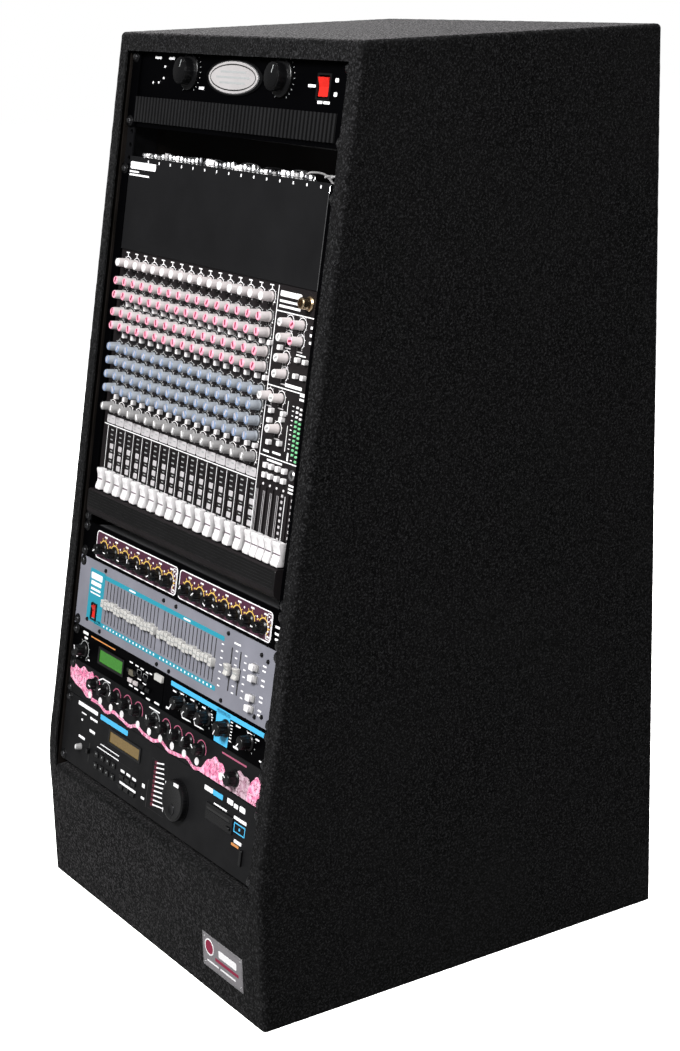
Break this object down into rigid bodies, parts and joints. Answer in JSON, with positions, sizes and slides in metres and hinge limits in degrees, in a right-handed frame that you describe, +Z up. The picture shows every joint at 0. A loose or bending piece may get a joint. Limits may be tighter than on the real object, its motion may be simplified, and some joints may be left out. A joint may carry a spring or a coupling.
{
  "type": "equipment rack case",
  "caption": "Slant-front carpeted studio rack case with steel rails, holding an amplifier, a fader mixer, a compressor, a graphic equaliser, effects units, a preamp and a sampler.",
  "frame": {"origin": "middle of the case's footprint, on the floor", "axes": "+Z up, +X to the right as seen from the front, the slanted front faces -Y"},
  "size_m": [0.53, 0.56, 1.058],
  "materials": {
    "plywood": "black-stained birch plywood",
    "carpet": "short needled trunk carpet",
    "black_steel": "black powder coat",
    "black_paint": "satin black paint",
    "dark_grey_paint": "satin dark grey paint",
    "pale_grey_paint": "satin pale grey paint",
    "bare_metal": "brushed",
    "white_plastic": "matte white",
    "black_plastic": "satin black",
    "grey_plastic": "matte grey",
    "red_plastic": "glossy red lens"
  },
  "bodies": {
    "case": {"left_side_board": "plywood", "right_side_board": "plywood", "top_board": "plywood", "base_board": "plywood", "kick_board": "plywood", "left_carpet": "carpet", "right_carpet": "carpet", "top_carpet": "carpet", "kick_carpet": "carpet", "rear_upper_brace": "plywood", "rear_lower_brace": "plywood", "left_rack_rail": "black_steel", "right_rack_rail": "black_steel", "badge_plate": "bare_metal", "amp_chassis": "black_steel", "amp_faceplate": "black_paint", "amp_fin_block": "black_paint", "mixer_chassis": "black_steel", "mixer_panel": "dark_grey_paint", "mixer_jack_pod": "dark_grey_paint", "mixer_left_ear": "black_paint", "mixer_right_ear": "black_paint", "compressor_chassis": "black_steel", "compressor_faceplate": "black_paint", "equalizer_chassis": "black_steel", "equalizer_faceplate": "pale_grey_paint", "left_effects_unit": "black_paint", "right_effects_unit": "black_paint", "preamp_chassis": "black_steel", "preamp_faceplate": "dark_grey_paint", "sampler_chassis": "black_steel", "sampler_faceplate": "dark_grey_paint"},
    "amp_left_knob": {"amp_left_knob": "black_plastic"},
    "amp_right_knob": {"amp_right_knob": "black_plastic"},
    "amp_power_rocker": {"amp_power_rocker": "red_plastic"},
    "channel_fader_01": {"channel_fader_01": "white_plastic"},
    "channel_fader_02": {"channel_fader_02": "white_plastic"},
    "channel_fader_03": {"channel_fader_03": "white_plastic"},
    "channel_fader_04": {"channel_fader_04": "white_plastic"},
    "channel_fader_05": {"channel_fader_05": "white_plastic"},
    "channel_fader_06": {"channel_fader_06": "white_plastic"},
    "channel_fader_07": {"channel_fader_07": "white_plastic"},
    "channel_fader_08": {"channel_fader_08": "white_plastic"},
    "channel_fader_09": {"channel_fader_09": "white_plastic"},
    "channel_fader_10": {"channel_fader_10": "white_plastic"},
    "channel_fader_11": {"channel_fader_11": "white_plastic"},
    "channel_fader_12": {"channel_fader_12": "white_plastic"},
    "channel_fader_13": {"channel_fader_13": "white_plastic"},
    "channel_fader_14": {"channel_fader_14": "white_plastic"},
    "channel_fader_15": {"channel_fader_15": "white_plastic"},
    "channel_fader_16": {"channel_fader_16": "white_plastic"},
    "sub_fader_1": {"sub_fader_1": "white_plastic"},
    "sub_fader_2": {"sub_fader_2": "white_plastic"},
    "sub_fader_3": {"sub_fader_3": "white_plastic"},
    "sub_fader_4": {"sub_fader_4": "white_plastic"},
    "main_fader": {"main_fader": "white_plastic"},
    "equalizer_left_slider": {"equalizer_left_slider": "grey_plastic"},
    "equalizer_right_slider": {"equalizer_right_slider": "grey_plastic"},
    "equalizer_power_rocker": {"equalizer_power_rocker": "red_plastic"},
    "data_wheel": {"data_wheel": "black_plastic"}
  },
  "joints": [
    {"name": "amp_left_knob_turn", "type": "hinge", "parent": "case", "child": "amp_left_knob", "pos_m": [-0.102, -0.11369, 1.01525], "axis": [0, -0.9837, 0.18], "range_deg": [-150, 150]},
    {"name": "amp_right_knob_turn", "type": "hinge", "parent": "case", "child": "amp_right_knob", "pos_m": [0.102, -0.11369, 1.01525], "axis": [0, -0.9837, 0.18], "range_deg": [-150, 150]},
    {"name": "amp_power_rocker_tilt", "type": "hinge", "parent": "case", "child": "amp_power_rocker", "pos_m": [0.186, -0.11084, 1.00862], "axis": [1, 0, 0], "range_deg": [-16, 0]},
    {"name": "channel_fader_01_slide", "type": "slide", "parent": "case", "child": "channel_fader_01", "axis": [0, 0.18, 0.9837], "range_m": [0, 0.06]},
    {"name": "channel_fader_02_slide", "type": "slide", "parent": "case", "child": "channel_fader_02", "axis": [0, 0.18, 0.9837], "range_m": [0, 0.06]},
    {"name": "channel_fader_03_slide", "type": "slide", "parent": "case", "child": "channel_fader_03", "axis": [0, 0.18, 0.9837], "range_m": [0, 0.06]},
    {"name": "channel_fader_04_slide", "type": "slide", "parent": "case", "child": "channel_fader_04", "axis": [0, 0.18, 0.9837], "range_m": [0, 0.06]},
    {"name": "channel_fader_05_slide", "type": "slide", "parent": "case", "child": "channel_fader_05", "axis": [0, 0.18, 0.9837], "range_m": [0, 0.06]},
    {"name": "channel_fader_06_slide", "type": "slide", "parent": "case", "child": "channel_fader_06", "axis": [0, 0.18, 0.9837], "range_m": [0, 0.06]},
    {"name": "channel_fader_07_slide", "type": "slide", "parent": "case", "child": "channel_fader_07", "axis": [0, 0.18, 0.9837], "range_m": [0, 0.06]},
    {"name": "channel_fader_08_slide", "type": "slide", "parent": "case", "child": "channel_fader_08", "axis": [0, 0.18, 0.9837], "range_m": [0, 0.06]},
    {"name": "channel_fader_09_slide", "type": "slide", "parent": "case", "child": "channel_fader_09", "axis": [0, 0.18, 0.9837], "range_m": [0, 0.06]},
    {"name": "channel_fader_10_slide", "type": "slide", "parent": "case", "child": "channel_fader_10", "axis": [0, 0.18, 0.9837], "range_m": [0, 0.06]},
    {"name": "channel_fader_11_slide", "type": "slide", "parent": "case", "child": "channel_fader_11", "axis": [0, 0.18, 0.9837], "range_m": [0, 0.06]},
    {"name": "channel_fader_12_slide", "type": "slide", "parent": "case", "child": "channel_fader_12", "axis": [0, 0.18, 0.9837], "range_m": [0, 0.06]},
    {"name": "channel_fader_13_slide", "type": "slide", "parent": "case", "child": "channel_fader_13", "axis": [0, 0.18, 0.9837], "range_m": [0, 0.06]},
    {"name": "channel_fader_14_slide", "type": "slide", "parent": "case", "child": "channel_fader_14", "axis": [0, 0.18, 0.9837], "range_m": [0, 0.06]},
    {"name": "channel_fader_15_slide", "type": "slide", "parent": "case", "child": "channel_fader_15", "axis": [0, 0.18, 0.9837], "range_m": [0, 0.06]},
    {"name": "channel_fader_16_slide", "type": "slide", "parent": "case", "child": "channel_fader_16", "axis": [0, 0.18, 0.9837], "range_m": [0, 0.06]},
    {"name": "sub_fader_1_slide", "type": "slide", "parent": "case", "child": "sub_fader_1", "axis": [0, 0.18, 0.9837], "range_m": [0, 0.06]},
    {"name": "sub_fader_2_slide", "type": "slide", "parent": "case", "child": "sub_fader_2", "axis": [0, 0.18, 0.9837], "range_m": [0, 0.06]},
    {"name": "sub_fader_3_slide", "type": "slide", "parent": "case", "child": "sub_fader_3", "axis": [0, 0.18, 0.9837], "range_m": [0, 0.06]},
    {"name": "sub_fader_4_slide", "type": "slide", "parent": "case", "child": "sub_fader_4", "axis": [0, 0.18, 0.9837], "range_m": [0, 0.06]},
    {"name": "main_fader_slide", "type": "slide", "parent": "case", "child": "main_fader", "axis": [0, 0.18, 0.9837], "range_m": [0, 0.06]},
    {"name": "equalizer_left_slider_slide", "type": "slide", "parent": "case", "child": "equalizer_left_slider", "axis": [0, 0.18, 0.9837], "range_m": [-0.02, 0.02]},
    {"name": "equalizer_right_slider_slide", "type": "slide", "parent": "case", "child": "equalizer_right_slider", "axis": [0, 0.18, 0.9837], "range_m": [-0.02, 0.02]},
    {"name": "equalizer_power_rocker_tilt", "type": "hinge", "parent": "case", "child": "equalizer_power_rocker", "pos_m": [-0.193, -0.23243, 0.36093], "axis": [1, 0, 0], "range_deg": [-16, 0]},
    {"name": "data_wheel_spin", "type": "hinge", "parent": "case", "child": "data_wheel", "pos_m": [0.062, -0.26535, 0.20328], "axis": [0, -0.9837, 0.18], "continuous": true}
  ]
}
